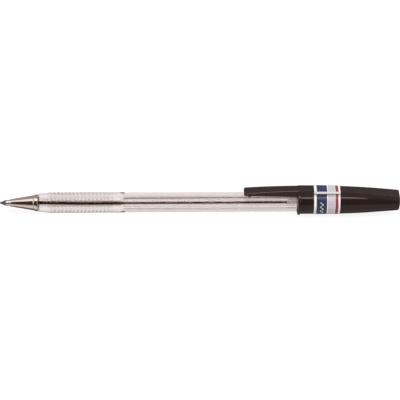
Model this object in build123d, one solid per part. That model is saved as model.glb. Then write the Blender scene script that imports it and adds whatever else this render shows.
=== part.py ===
from build123d import *
from math import cos, radians, sin, sqrt, tan
import os

# Stick ballpoint pen with its cap posted on the tail.
# Every piece is drawn about the pen's own axis. A station is a distance in millimetres along that axis from the front
# of the writing ball. The ball points to -X, the cap's domed end to +X, and the clip stands up along +Z.

# Driving dimensions, in millimetres and degrees

# Writing ball and the turned point that holds it
BALL_DIAMETER = 0.7
BALL_PROUD = 0.22
BALL_CLEARANCE = 0.02
RIM_WALL = 0.07
SEAT_DEPTH = 0.42
POINT_DIAMETER = 2.3
POINT_NOSE_LENGTH = 2.2
POINT_REACH = 4.2
POINT_COLLAR_LENGTH = 0.8
POINT_SHANK_LENGTH = 4.0
INK_CHANNEL = 0.3
INK_CHANNEL_LENGTH = 0.7
FEED_BORE = 0.8

# Refill tube and its ink
TUBE_DIAMETER = 2.9
TUBE_BORE = 1.4
INK_FREE_END = 0.4
SHANK_CLEARANCE = 0.01
INK_CLEARANCE = 0.01

# Nose cone
CONE_FRONT_DIAMETER = 2.9
CONE_BACK_DIAMETER = 6.16
CONE_LENGTH = 9.6
CONE_GUIDE_LENGTH = 2.5
BAND_FRONT_DIAMETER = 6.6
BAND_DIAMETER = 6.8
BAND_STEP = 0.22
BAND_LENGTH = 1.65
BAND_EDGE = 0.18
POINT_CLEARANCE = 0.04
COLLAR_CLEARANCE = 0.03
TUBE_CLEARANCE = 0.15
THREAD_CLEARANCE = 0.05
SEAT_CLEARANCE = 0.05

# Barrel
STUB_DIAMETER = 4.5
STUB_LENGTH = 4.0
STUB_CHAMFER = 0.3
FRONT_DIAMETER = 7.2
FRONT_CHAMFER = 0.15
FRONT_TAPER_LENGTH = 3.9
GRIP_DIAMETER = 8.2
RING_COUNT = 17
RING_PITCH = 1.52
RING_DEPTH = 0.12
RING_LAND = 0.5
COLLAR_LENGTH = 3.2
RAMP_LENGTH = 1.5
HEX_ACROSS_FLATS = 7.0
HEX_CORNER_DIAMETER = 8.0
BARREL_TURN = 19.0
CORNER_UP = 30.0
BARREL_LENGTH = 123.5
BARREL_BORE = 3.8
BORE_SHOULDER_LENGTH = 0.6
TAIL_CHAMFER = 0.3

# Tail plug
PLUG_HEAD_DIAMETER = 6.0
PLUG_HEAD_LENGTH = 1.2
PLUG_HEAD_EDGE = 0.4
PLUG_CLEARANCE = 0.02
PLUG_STEM_LENGTH = 23.7
PLUG_LEAD = 0.4
PLUG_HOLLOW = 2.0
PLUG_FRONT_WALL = 3.0
PLUG_VENT = 0.7
REFILL_PLAY = 0.1

# Cap
CAP_LENGTH = 41.0
CAP_POSTED_DEPTH = 20.0
CAP_CLEARANCE = 0.06
CAP_WALL = 0.8
CAP_MOUTH_CHAMFER = 0.3
CAP_STRAIGHT_LENGTH = 17.0
CAP_TAPER_FRONT = 1.9
CAP_TAPER_LENGTH = 9.0
CAP_TAPER_BACK = 4.1
CAP_END_EDGE = 0.35
CAP_END_DOME = 0.5
CAP_END_FLAT = 2.6
CAP_END_WALL = 1.6
CAP_STOP_CLEARANCE = 0.1
HOLLOW_CLEARANCE = 0.1
HOLLOW_END_DIAMETER = 5.4
HOLLOW_END_LENGTH = 6.6
FLANGE_OVERHANG = 0.4
FLANGE_THICKNESS = 0.95
FLANGE_EDGE = 0.15

# Ridge of the cap and the clip that it runs out into
SPINE_RISE = 1.91
SPINE_RADIUS = 245.0
SPINE_APEX = 2.0
CLIP_LENGTH = 21.5
CLIP_WIDTH = 3.86
RIDGE_END_WIDTH = 3.46
RIDGE_STEP = 0.06
SIDE_DRAFT = 12.5
CLIP_ROOT_CLEARANCE = 0.04
CLIP_TIP_THICKNESS = 0.91
CLIP_CORNER = 0.8
CLIP_EDGE = 0.2
PIP_SETBACK = 2.2
PIP_RADIUS = 0.9
PIP_HEIGHT = 0.4

# Film label round the cap
LABEL_START = 6.3
LABEL_LENGTH = 10.4
LABEL_THICKNESS = 0.08
LABEL_GLUE = 0.01
LABEL_SEAM = 0.35
LABEL_SEAM_DROP = 1.05

# Stations along the axis and radii that follow from them
ball_centre = BALL_DIAMETER / 2
seat_radius = BALL_DIAMETER / 2 + BALL_CLEARANCE
feed_front = ball_centre + SEAT_DEPTH + INK_CHANNEL_LENGTH
cone_front = POINT_REACH
collar_front = cone_front + CONE_GUIDE_LENGTH + COLLAR_CLEARANCE
tube_front = collar_front + POINT_COLLAR_LENGTH
shank_back = tube_front + POINT_SHANK_LENGTH
band_front = cone_front + CONE_LENGTH
cone_back = band_front + BAND_LENGTH
barrel_front = cone_back + SEAT_CLEARANCE
stub_front = barrel_front - STUB_LENGTH
rings_front = barrel_front + FRONT_TAPER_LENGTH
rings_back = rings_front + RING_COUNT * RING_PITCH
ramp_front = rings_back + COLLAR_LENGTH
hex_front = ramp_front + RAMP_LENGTH
barrel_back = barrel_front + BARREL_LENGTH
plug_front = barrel_back - PLUG_STEM_LENGTH
plug_back = barrel_back + PLUG_HEAD_LENGTH
tube_back = plug_front - REFILL_PLAY
cap_mouth = barrel_back - CAP_POSTED_DEPTH
cap_back = cap_mouth + CAP_LENGTH
clip_tip = cap_mouth - CLIP_LENGTH
ridge_back = cap_back - CAP_END_DOME
label_front = cap_mouth + LABEL_START

tube_radius = TUBE_DIAMETER / 2
grip_radius = GRIP_DIAMETER / 2
valley_radius = grip_radius - RING_DEPTH
corner_radius = HEX_CORNER_DIAMETER / 2
stub_bore_radius = tube_radius + TUBE_CLEARANCE
bore_radius = BARREL_BORE / 2
cap_bore_radius = grip_radius + CAP_CLEARANCE
cap_radius = cap_bore_radius + CAP_WALL
flange_radius = cap_radius + FLANGE_OVERHANG
spine_top = cap_radius + SPINE_RISE


def turned(*outline):
    """Solid of revolution about the pen's axis from a closed outline of (station, radius) corners."""
    return revolve(make_face(Polyline(*outline, close=True)), Axis.X)


def rod(start, end, radius):
    """Plain round bar between two stations."""
    return turned((start, 0), (start, radius), (end, radius), (end, 0))


def ring(start, end, inner, outer):
    """Plain tube between two stations."""
    return turned((start, inner), (start, outer), (end, outer), (end, inner))


def across(station):
    """Plane square to the axis at a station, its x along +Y and its y along +Z."""
    return Plane(origin=(station, 0, 0), x_dir=(0, 1, 0), z_dir=(1, 0, 0))


def writing_ball():
    return Pos(ball_centre, 0, 0) * Sphere(BALL_DIAMETER / 2)


def point_socket():
    """Turned point: swaged rim round the ball, cone, stem, collar that stops in the nose cone, shank in the tube."""
    rim_bore = sqrt((BALL_DIAMETER / 2) ** 2 - (ball_centre - BALL_PROUD) ** 2) + BALL_CLEARANCE
    stem_radius = POINT_DIAMETER / 2
    shank_radius = TUBE_BORE / 2 - SHANK_CLEARANCE
    blank = turned(
        (BALL_PROUD, 0),
        (BALL_PROUD, rim_bore + RIM_WALL),
        (BALL_PROUD + POINT_NOSE_LENGTH, stem_radius),
        (collar_front, stem_radius),
        (collar_front, tube_radius),
        (tube_front, tube_radius),
        (tube_front, shank_radius),
        (shank_back, shank_radius),
        (shank_back, 0),
    )
    chamber = turned(
        (BALL_PROUD, 0),
        (BALL_PROUD, rim_bore),
        (ball_centre, seat_radius),
        (ball_centre + seat_radius / 2, seat_radius),
        (feed_front - INK_CHANNEL_LENGTH, INK_CHANNEL / 2),
        (feed_front, INK_CHANNEL / 2),
        (feed_front, FEED_BORE / 2),
        (shank_back, FEED_BORE / 2),
        (shank_back, 0),
    )
    return blank - chamber


def refill_tube():
    return ring(tube_front, tube_back, TUBE_BORE / 2, tube_radius)


def ink_column():
    """Ink in the tube, with the thinner thread of it that fills the point's feed bore."""
    thread_radius = FEED_BORE / 2 - INK_CLEARANCE
    column_radius = TUBE_BORE / 2 - INK_CLEARANCE
    column_front = shank_back + INK_CLEARANCE
    column_back = tube_back - INK_FREE_END
    return turned(
        (feed_front + INK_CLEARANCE, 0),
        (feed_front + INK_CLEARANCE, thread_radius),
        (column_front, thread_radius),
        (column_front, column_radius),
        (column_back, column_radius),
        (column_back, 0),
    )


def nose_cone():
    """Tapered shell with a low band at its back edge, a guide for the point and a bore for the barrel's stub."""
    band_radius = BAND_DIAMETER / 2
    shell = turned(
        (cone_front, 0),
        (cone_front, CONE_FRONT_DIAMETER / 2),
        (band_front, CONE_BACK_DIAMETER / 2),
        (band_front + BAND_STEP, BAND_FRONT_DIAMETER / 2),
        (cone_back - BAND_EDGE, band_radius),
        (cone_back, band_radius - BAND_EDGE),
        (cone_back, 0),
    )
    guide = rod(cone_front, cone_front + CONE_GUIDE_LENGTH, POINT_DIAMETER / 2 + POINT_CLEARANCE)
    thread_front = stub_front - SEAT_CLEARANCE
    chamber = rod(cone_front + CONE_GUIDE_LENGTH, thread_front, stub_bore_radius)
    thread = rod(thread_front, cone_back, STUB_DIAMETER / 2 + THREAD_CLEARANCE)
    return shell - guide - chamber - thread


def grip_outline():
    """Corners of the turned half section, from the stub's front over the grip rings to the tail."""
    stub_radius = STUB_DIAMETER / 2
    front_radius = FRONT_DIAMETER / 2
    corners = [
        (stub_front, 0),
        (stub_front, stub_radius - STUB_CHAMFER),
        (stub_front + STUB_CHAMFER, stub_radius),
        (barrel_front, stub_radius),
        (barrel_front, front_radius - FRONT_CHAMFER),
        (barrel_front + FRONT_CHAMFER, front_radius),
        (rings_front, valley_radius),
    ]
    for number in range(RING_COUNT):
        crest = rings_front + (number + 0.5) * RING_PITCH
        corners += [
            (crest - RING_LAND / 2, grip_radius),
            (crest + RING_LAND / 2, grip_radius),
            (crest + RING_PITCH / 2, valley_radius),
        ]
    return corners + [
        (rings_back, grip_radius),
        (ramp_front, grip_radius),
        (hex_front, corner_radius),
        (barrel_back - TAIL_CHAMFER, corner_radius),
        (barrel_back, corner_radius - TAIL_CHAMFER),
        (barrel_back, 0),
    ]


def barrel():
    """Turned grip and stub; behind the grip six flats are ramped down into the round, and the bore is left."""
    turned_form = turned(*grip_outline())
    flats = [
        across(station) * RegularPolygon(radius, 6, major_radius=False, rotation=CORNER_UP + BARREL_TURN)
        for station, radius in (
            (ramp_front, grip_radius),
            (hex_front, HEX_ACROSS_FLATS / 2),
            (barrel_back, HEX_ACROSS_FLATS / 2),
        )
    ]
    hexagon = loft(flats, ruled=True)
    outside = rod(stub_front, ramp_front, GRIP_DIAMETER) + hexagon
    bore = turned(
        (stub_front, 0),
        (stub_front, stub_bore_radius),
        (barrel_front, stub_bore_radius),
        (barrel_front + BORE_SHOULDER_LENGTH, bore_radius),
        (barrel_back, bore_radius),
        (barrel_back, 0),
    )
    return (turned_form & outside) - bore


def tail_plug():
    """Hollow stem pressed into the bore up to the tube's end, with a domed head that closes the tail and a vent."""
    stem_radius = bore_radius - PLUG_CLEARANCE
    head_radius = PLUG_HEAD_DIAMETER / 2
    blank = turned(
        (plug_front, 0),
        (plug_front, stem_radius - PLUG_LEAD),
        (plug_front + PLUG_LEAD, stem_radius),
        (barrel_back, stem_radius),
        (barrel_back, head_radius),
        (plug_back - PLUG_HEAD_EDGE, head_radius),
        (plug_back, head_radius - PLUG_HEAD_EDGE),
        (plug_back, 0),
    )
    hollow = rod(plug_front + PLUG_FRONT_WALL, plug_back, PLUG_HOLLOW / 2)
    return blank - hollow - rod(plug_front, plug_back, PLUG_VENT / 2)


def spine(station):
    """Height of the ridge's back above the axis: one long arc with its apex just behind the mouth."""
    offset = station - (cap_mouth + SPINE_APEX)
    return spine_top - SPINE_RADIUS + sqrt(SPINE_RADIUS**2 - offset**2)


def ridge_section(station, width, grow):
    """Drafted section of the ridge, from the axis to above its back. The width is the one at the spine's apex."""
    slope = tan(radians(SIDE_DRAFT))
    at_apex = width / 2 + grow / cos(radians(SIDE_DRAFT))
    top = at_apex - SPINE_RISE * slope
    foot = at_apex + spine_top * slope
    height = spine_top + SPINE_RISE
    return across(station) * make_face(
        Polyline((-foot, 0), (foot, 0), (top, height), (-top, height), close=True)
    )


def ridge(grow):
    """Ridge and clip as one block: drafted sides, arched back, and an underside that thins towards the free tip."""
    tip = clip_tip - grow
    middle = (tip + ridge_back) / 2
    flank = loft(
        [
            ridge_section(tip - CLIP_CORNER, CLIP_WIDTH, grow),
            ridge_section(ridge_back + CLIP_CORNER, RIDGE_END_WIDTH, grow),
        ],
        ruled=True,
    )
    outline = [
        ThreePointArc(
            (tip, spine(tip) + grow),
            (middle, spine(middle) + grow),
            (ridge_back, spine(ridge_back) + grow),
        ),
        Polyline(
            (ridge_back, spine(ridge_back) + grow),
            (ridge_back, 0),
            (cap_mouth, 0),
            (cap_mouth, clip_underside(cap_mouth)),
            (tip, clip_underside(tip)),
            (tip, spine(tip) + grow),
        ),
    ]
    block = flank & extrude(Plane.XZ * make_face(outline), amount=cap_radius, both=True)
    back_face = block.faces().sort_by(Axis.Z)[-1]
    rim = back_face.edges().filter_by(lambda edge: edge.center().X < ridge_back - CLIP_EDGE)
    foot = CLIP_WIDTH / 2 + grow + (spine_top - clip_underside(clip_tip)) * tan(radians(SIDE_DRAFT))
    plan = Pos(tip + cap_back, 0) * RectangleRounded(2 * cap_back, 2 * foot, CLIP_CORNER)
    return chamfer(rim, CLIP_EDGE + grow) & extrude(plan, amount=2 * spine_top)


def clip_underside(station):
    """Height of the clip's underside, a straight line from the mouth's bore up to the free tip."""
    root = cap_bore_radius + CLIP_ROOT_CLEARANCE
    tip = spine(clip_tip) - CLIP_TIP_THICKNESS
    return root + (tip - root) * (cap_mouth - station) / CLIP_LENGTH


def clip_pip():
    """Low round bar across the underside of the clip's tip, which grips the cloth of a pocket."""
    centre = clip_tip + PIP_SETBACK
    underside = clip_underside(centre)
    bar = Pos(centre, 0, underside - PIP_HEIGHT + PIP_RADIUS) * Rot(90, 0, 0) * Cylinder(PIP_RADIUS, CLIP_WIDTH)
    inside_clip = (Align.CENTER, Align.CENTER, Align.MIN)
    spare = Box(4 * PIP_RADIUS, 2 * CLIP_WIDTH, 4 * PIP_RADIUS, align=inside_clip)
    return bar - Pos(centre, 0, underside + CLIP_TIP_THICKNESS / 2) * spare


def cap():
    """Cap: turned body with a flanged mouth and tapering end, the ridge and clip, and a stepped hollow."""
    taper_front = cap_mouth + CAP_STRAIGHT_LENGTH
    taper_middle = taper_front + CAP_TAPER_LENGTH
    middle_radius = cap_radius - CAP_TAPER_LENGTH * tan(radians(CAP_TAPER_FRONT))
    end_radius = middle_radius - (ridge_back - taper_middle) * tan(radians(CAP_TAPER_BACK))
    body = turned(
        (cap_mouth, 0),
        (cap_mouth, flange_radius - FLANGE_EDGE),
        (cap_mouth + FLANGE_EDGE, flange_radius),
        (cap_mouth + FLANGE_THICKNESS - FLANGE_EDGE, flange_radius),
        (cap_mouth + FLANGE_THICKNESS, flange_radius - FLANGE_EDGE),
        (cap_mouth + FLANGE_THICKNESS, cap_radius),
        (taper_front, cap_radius),
        (taper_middle, middle_radius),
        (ridge_back - CAP_END_EDGE, end_radius + CAP_END_EDGE * tan(radians(CAP_TAPER_BACK))),
        (ridge_back, end_radius - CAP_END_EDGE),
        (cap_back, CAP_END_FLAT / 2),
        (cap_back, 0),
    )
    stop = barrel_back + CAP_STOP_CLEARANCE
    hollow_radius = BAND_DIAMETER / 2 + HOLLOW_CLEARANCE
    hollow_back = cap_back - CAP_END_WALL
    hollow = turned(
        (cap_mouth, 0),
        (cap_mouth, cap_bore_radius + CAP_MOUTH_CHAMFER),
        (cap_mouth + CAP_MOUTH_CHAMFER, cap_bore_radius),
        (stop, cap_bore_radius),
        (stop, hollow_radius),
        (hollow_back - HOLLOW_END_LENGTH, hollow_radius),
        (hollow_back - HOLLOW_END_LENGTH, HOLLOW_END_DIAMETER / 2),
        (hollow_back, HOLLOW_END_DIAMETER / 2),
        (hollow_back, 0),
    )
    behind_mouth = rod(cap_mouth, cap_back, spine_top + SPINE_RISE)
    return body + ridge(0) + (ridge(RIDGE_STEP) & behind_mouth) + clip_pip() - hollow


def cap_label():
    """Film that follows the cap's outside and its ridge, open along a seam on the ridge's near side."""
    label_back = label_front + LABEL_LENGTH

    def wrapped(grow):
        return rod(label_front, label_back, cap_radius + grow) + ridge(RIDGE_STEP + grow)

    film = wrapped(LABEL_GLUE + LABEL_THICKNESS) - wrapped(LABEL_GLUE)
    return (film & rod(label_front, label_back, spine_top + SPINE_RISE)) - label_seam()


def label_seam():
    """Cutter for the slit between the film's two edges, along the ridge's side and below its back."""
    middle = label_front + LABEL_LENGTH / 2
    run = (middle - clip_tip) / (ridge_back - clip_tip)
    height = spine(middle) - LABEL_SEAM_DROP
    at_apex = (CLIP_WIDTH + (RIDGE_END_WIDTH - CLIP_WIDTH) * run) / 2 + RIDGE_STEP
    side = at_apex + (spine_top - height) * tan(radians(SIDE_DRAFT))
    return Pos(middle, -side, height) * Rot(0, 90, 0) * Cylinder(LABEL_SEAM / 2, 2 * LABEL_LENGTH)


PIECES = (
    barrel,
    tail_plug,
    nose_cone,
    point_socket,
    writing_ball,
    refill_tube,
    ink_column,
    cap,
    cap_label,
)

os.makedirs("parts", exist_ok=True)
# The frame stands on the flange's lowest point, under the middle of the pen's length
placed = Pos(-cap_back / 2, 0, flange_radius)
for piece in PIECES:
    export_step(placed * piece(), f"parts/{piece.__name__}.step")
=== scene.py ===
# %% [markdown]
# # Dressing a stick ballpoint pen
# The solids of this pen are already fixed: a clear barrel, a plated nose cone, a refill with its point, and
# a black cap pushed onto the tail. This lesson puts finer skins and real finishes round them. Every skin is
# a numpy array worked out from two parameters, and every finish is a small piece of shader arithmetic.

# %% Load the frame
import math

import bpy
import numpy as np
from mathutils import Matrix, Vector


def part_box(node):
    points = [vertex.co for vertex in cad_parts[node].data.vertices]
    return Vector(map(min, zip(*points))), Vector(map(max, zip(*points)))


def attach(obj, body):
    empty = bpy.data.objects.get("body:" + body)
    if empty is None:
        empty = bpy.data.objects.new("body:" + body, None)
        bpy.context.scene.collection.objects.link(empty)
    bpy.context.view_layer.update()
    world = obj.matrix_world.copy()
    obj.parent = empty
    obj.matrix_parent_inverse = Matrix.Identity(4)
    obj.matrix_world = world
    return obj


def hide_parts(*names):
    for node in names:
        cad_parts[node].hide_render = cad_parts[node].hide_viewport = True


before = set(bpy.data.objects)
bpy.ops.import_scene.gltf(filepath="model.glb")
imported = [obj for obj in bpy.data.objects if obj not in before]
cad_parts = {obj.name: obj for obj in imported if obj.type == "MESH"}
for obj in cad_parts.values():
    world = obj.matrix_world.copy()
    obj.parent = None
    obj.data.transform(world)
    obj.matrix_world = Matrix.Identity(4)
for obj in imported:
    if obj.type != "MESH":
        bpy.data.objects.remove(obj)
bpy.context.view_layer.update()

# %% [markdown]
# ## One way to measure along the pen
# A pen is easiest to describe by a station, the distance in millimetres from the front of the writing ball,
# and by an angle round the axis. The angle starts at +Y and turns towards +Z, so the clip stands at 90
# degrees and the near side is at 180 degrees. Sizes in the frame's metres would be full of zeros, so shapes
# are worked out in millimetres, and one function puts them into the frame.

# %% Stations and the frame
PEN_LENGTH = 160.0
AXIS_HEIGHT = 5.36
MM = 0.001


def placed(station, across, up):
    """Points in the frame: the station from the middle of the pen, the rest from its axis."""
    station, across, up = np.broadcast_arrays(station, across, up)
    return np.stack([station - PEN_LENGTH / 2, across, up + AXIS_HEIGHT], axis=-1) * MM


# %% [markdown]
# ## From arrays to a mesh
# A grid of points needs only its quads. Where a skin closes on the axis, a whole row would fall on one
# point, so that row becomes a single pole with a fan of triangles. Blender can recalculate normals, but the
# sign of the enclosed volume already tells whether the faces look outwards, and its size is worth printing.
# If it is negative, every face is turned round.

# %% Grids, poles and meshes
SHARP_ANGLE = math.radians(50)


def grid_quads(rows, columns, wrap_rows, wrap_columns):
    """Quads of a grid: a point, its neighbour in the next column, and the same two in the next row.
    Where asked, the last row or column is joined to the first."""
    row = np.arange(rows if wrap_rows else rows - 1)[:, None]
    column = np.arange(columns if wrap_columns else columns - 1)[None, :]
    here, below = row * columns, (row + 1) % rows * columns
    beside = (column + 1) % columns
    corners = (here + column, here + beside, below + beside, below + column)
    return np.stack(np.broadcast_arrays(*corners), axis=-1).reshape(-1, 4)


def fan(edge, pole, forwards):
    """Triangles from a closed row of points to one pole."""
    following = np.roll(edge, -1)
    first, second = (edge, following) if forwards else (following, edge)
    return np.stack([first, second, np.full_like(edge, pole)], axis=-1)


def end_fans(rows, columns):
    """Fans that close a grid's first and last row on two poles, numbered after the grid's own points."""
    first_row = np.arange(columns)
    last_row = first_row + (rows - 1) * columns
    return np.concatenate([fan(first_row, rows * columns, False), fan(last_row, rows * columns + 1, True)])


def enclosed_volume(points, triangles):
    """Sum of the signed volumes of the tetrahedra from the middle to each triangle."""
    a, b, c = (points[triangles[:, k]] - points.mean(axis=0) for k in range(3))
    return float(np.einsum("ij,ij->", a, np.cross(b, c)) / 6)


def make_piece(name, points, quads, triangles=None):
    """A smooth-shaded mesh object with its faces outwards and its sharp edges marked by angle."""
    points = np.asarray(points, float).reshape(-1, 3)
    triangles = np.zeros((0, 3), int) if triangles is None else triangles
    halves = np.concatenate([quads[:, [0, 1, 2]], quads[:, [0, 2, 3]], triangles])
    volume = enclosed_volume(points, halves)
    if volume < 0:
        quads, triangles = quads[:, ::-1], triangles[:, ::-1]
    mesh = bpy.data.meshes.new(name)
    mesh.from_pydata(points.tolist(), [], quads.tolist() + triangles.tolist())
    mesh.polygons.foreach_set("use_smooth", np.ones(len(mesh.polygons), bool))
    mesh.set_sharp_from_angle(angle=SHARP_ANGLE)
    piece = bpy.data.objects.new(name, mesh)
    bpy.context.scene.collection.objects.link(piece)
    print(f"{name}: {len(halves)} triangles, {abs(volume) / MM**3:.1f} mm3")
    return piece


def polar_skin(name, stations, radii, angles, lift=0.0):
    """Closed skin about the axis: row i, column j lies at station i and radius ij in direction angle j.
    A first and last row of no radius are poles. Without poles the last row joins the first, as on a tube.
    The lift raises each row off the axis."""
    poles = not radii[0].any() and not radii[-1].any()
    inner = slice(1, -1) if poles else slice(None)
    station = np.broadcast_to(np.asarray(stations, float).reshape(len(radii), -1), radii.shape)
    points = placed(station, radii * np.cos(angles), radii * np.sin(angles) + lift)
    ends = points[[0, -1], 0]
    points = points[inner]
    rows, columns = points.shape[:2]
    quads = grid_quads(rows, columns, not poles, True)
    if not poles:
        return make_piece(name, points, quads)
    closed = np.concatenate([points.reshape(-1, 3), ends])
    return make_piece(name, closed, quads, end_fans(rows, columns))


# %% [markdown]
# ## Outlines with honest edges
# No moulded or turned edge is knife sharp. A Bevel modifier would have to be told which edges to leave.
# Here an outline is given by its corners, and each corner is swapped for a short curve that starts and ends
# a little way along its two runs. Long runs then get extra points, so that no face is a splinter the length
# of the pen.

# %% Rounded and divided outlines
MOST_OF_RUN = 0.45


def rounded(corners, cut, steps=4, closed=True):
    """Each corner becomes a quadratic curve from one run to the next, pulled towards the corner.
    Works on one outline or on a stack of them. An open outline keeps its two end points."""
    corners = np.asarray(corners, float)
    before, after = np.roll(corners, 1, axis=-2), np.roll(corners, -1, axis=-2)
    runs = [np.linalg.norm(other - corners, axis=-1, keepdims=True) for other in (before, after)]
    reach = np.broadcast_to(cut, corners.shape[:-1])[..., None]
    reach = np.minimum(reach, MOST_OF_RUN * np.minimum(*runs))
    start = corners + (before - corners) / runs[0] * reach
    end = corners + (after - corners) / runs[1] * reach
    t = np.linspace(0, 1, steps)[:, None]
    start, middle, end = (part[..., None, :] for part in (start, corners, end))
    curves = (1 - t) ** 2 * start + 2 * t * (1 - t) * middle + t**2 * end
    if closed:
        return curves.reshape(*corners.shape[:-2], -1, 2)
    return np.concatenate([corners[:1], curves[1:-1].reshape(-1, 2), corners[-1:]])


def divided(outline, longest, closed=True):
    """Extra points on each run, as many as keep its parts no longer than asked."""
    path = np.concatenate([outline, outline[:1]]) if closed else outline
    length = np.linalg.norm(np.diff(path, axis=0), axis=1)
    parts = np.maximum(1, np.ceil(length / longest)).astype(int)
    run = np.repeat(np.arange(len(parts)), parts)
    along = (np.arange(len(run)) - (np.cumsum(parts) - parts)[run]) / parts[run]
    points = path[run] + along[:, None] * (path[run + 1] - path[run])
    return points if closed else np.concatenate([points, path[-1:]])


def middles(outline):
    """Middle points of the runs of a closed outline."""
    return (outline + np.roll(outline, -1, axis=0)) / 2


def even_angles(columns):
    """Directions all round the axis at equal steps."""
    return np.arange(columns) * 2 * np.pi / columns


def lathe(name, outline, columns=96, lift=0.0):
    """Solid of revolution: the same radius in every direction."""
    outline = np.asarray(outline, float)
    radii = np.repeat(outline[:, 1:], columns, axis=1)
    return polar_skin(name, outline[:, 0], radii, even_angles(columns), lift)


def smooth_min(a, b, blend):
    """The smaller of two values, with the crease between them rounded over a width of blend."""
    share = np.clip(0.5 + 0.5 * (b - a) / blend, 0, 1)
    return b + (a - b) * share - blend * share * (1 - share)


def smooth_max(a, b, blend):
    """The larger of two values, with the crease between them filled over a width of blend."""
    return -smooth_min(-a, -b, blend)


# %% [markdown]
# ## The writing end
# The ball sits in a turned point. Its front is swaged over the ball, behind it a slim nose widens to the
# stem, and a collar stops inside the nose cone. A fine groove marks where the nose was formed against the
# stem. Both pieces come off a lathe, so each is one outline of stations and radii turned about the axis,
# not a stack of cylinders with seams between them.

# %% Ball and point
BALL_RADIUS, SEAT_RADIUS = 0.35, 0.37
RIM_FRONT, RIM_BORE_RADIUS, RIM_RADIUS = 0.22, 0.345, 0.40
SWAGE_BACK, SWAGE_RADIUS, NOSE_FRONT, NOSE_RADIUS = 0.66, 0.43, 0.72, 0.47
STEM_RADIUS, GROOVE_RADIUS = 1.15, 1.10
GROOVE_FRONT, GROOVE_BACK, GROOVE_WALL = 2.42, 2.70, 0.08
SEAT_BACK, CHANNEL_FRONT, CHANNEL_RADIUS = 0.535, 0.77, 0.15
FEED_FRONT, FEED_RADIUS = 1.47, 0.40
COLLAR_FRONT, TUBE_FRONT, TUBE_RADIUS = 6.73, 7.53, 1.45
SHANK_BACK, SHANK_RADIUS = 11.53, 0.69

latitude = np.linspace(0, np.pi, 49)
ball_outline = BALL_RADIUS * np.stack([1 - np.cos(latitude), np.sin(latitude)], axis=-1)
ball_outline[[0, -1], 1] = 0
writing_ball = lathe("ball_skin", ball_outline, columns=64)

point_corners = (
    (RIM_FRONT, RIM_BORE_RADIUS),
    (RIM_FRONT, RIM_RADIUS),
    (SWAGE_BACK, SWAGE_RADIUS),
    (NOSE_FRONT, NOSE_RADIUS),
    (GROOVE_FRONT, STEM_RADIUS),
    (GROOVE_FRONT + GROOVE_WALL, GROOVE_RADIUS),
    (GROOVE_BACK - GROOVE_WALL, GROOVE_RADIUS),
    (GROOVE_BACK, STEM_RADIUS),
    (COLLAR_FRONT, STEM_RADIUS),
    (COLLAR_FRONT, TUBE_RADIUS),
    (TUBE_FRONT, TUBE_RADIUS),
    (TUBE_FRONT, SHANK_RADIUS),
    (SHANK_BACK, SHANK_RADIUS),
    (SHANK_BACK, FEED_RADIUS),
    (FEED_FRONT, FEED_RADIUS),
    (FEED_FRONT, CHANNEL_RADIUS),
    (CHANNEL_FRONT, CHANNEL_RADIUS),
    (SEAT_BACK, SEAT_RADIUS),
    (BALL_RADIUS, SEAT_RADIUS),
)
point_socket = lathe("point_skin", divided(rounded(point_corners, cut=0.03), longest=0.5))

# %% [markdown]
# ## Refill tube and ink
# The ink fills the tube but does not stick to its wall all over: a hair of air lies between them, and it
# makes the line look as narrow as it is, instead of magnified by the round tube. The free end of the ink is
# a shallow dish. Only the front of the tube is held, by the point, so the rest of it sags until it rests on
# the floor of the bore. A Curve modifier could bend a straight tube, but lifting each row by its station is
# one line.

# %% Tube and ink
TUBE_BACK, TUBE_BORE_RADIUS = 115.2, 0.70
SAG, SAG_FRONT, SAG_BACK = 0.42, 16.0, 36.0
INK_GAP, INK_FREE_END, INK_DISH, INK_DISH_RADIUS = 0.01, 0.4, 0.2, 0.3


def sagging(outline):
    """Lift of each row: none at the front, then the smooth step 3 s2 - 2 s3 down to the full sag."""
    share = np.clip((outline[:, :1] - SAG_FRONT) / (SAG_BACK - SAG_FRONT), 0, 1)
    return -SAG * share**2 * (3 - 2 * share)


tube_corners = (
    (TUBE_FRONT, TUBE_BORE_RADIUS),
    (TUBE_FRONT, TUBE_RADIUS),
    (TUBE_BACK, TUBE_RADIUS),
    (TUBE_BACK, TUBE_BORE_RADIUS),
)
tube_outline = divided(rounded(tube_corners, cut=0.06), longest=2.0)
refill_tube = lathe("tube_skin", tube_outline, lift=sagging(tube_outline))

feed_ink_radius, column_radius = FEED_RADIUS - INK_GAP, TUBE_BORE_RADIUS - INK_GAP
column_back = TUBE_BACK - INK_FREE_END
ink_corners = (
    (FEED_FRONT + INK_GAP, 0.0),
    (FEED_FRONT + INK_GAP, feed_ink_radius),
    (SHANK_BACK + INK_GAP, feed_ink_radius),
    (SHANK_BACK + INK_GAP, column_radius),
    (column_back, column_radius),
    (column_back - INK_DISH, INK_DISH_RADIUS),
    (column_back - INK_DISH, 0.0),
)
ink_outline = divided(rounded(ink_corners, cut=0.04, closed=False), longest=2.0, closed=False)
ink_column = lathe("ink_skin", ink_outline, lift=sagging(ink_outline))

# %% [markdown]
# ## Screw thread
# The cone screws onto a stub at the front of the barrel. A right-hand thread climbs one pitch for each
# turn, so its radius depends on the station less the pitch times the share of a turn. A separate coil would
# have to be joined on. As a wave in the radius, the thread is part of the skin: the stub has it on the
# outside and the cone in its bore, with a little room between.

# %% The thread wave
THREAD_PITCH, THREAD_STEP = 0.75, 0.07
THREAD_CREST, THREAD_DEPTH = 2.25, 0.28
STUB_FRONT, BARREL_FRONT = 11.5, 15.5
FADE_STATIONS = (STUB_FRONT, STUB_FRONT + 0.7, BARREL_FRONT - 0.8, BARREL_FRONT - 0.3)


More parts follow.
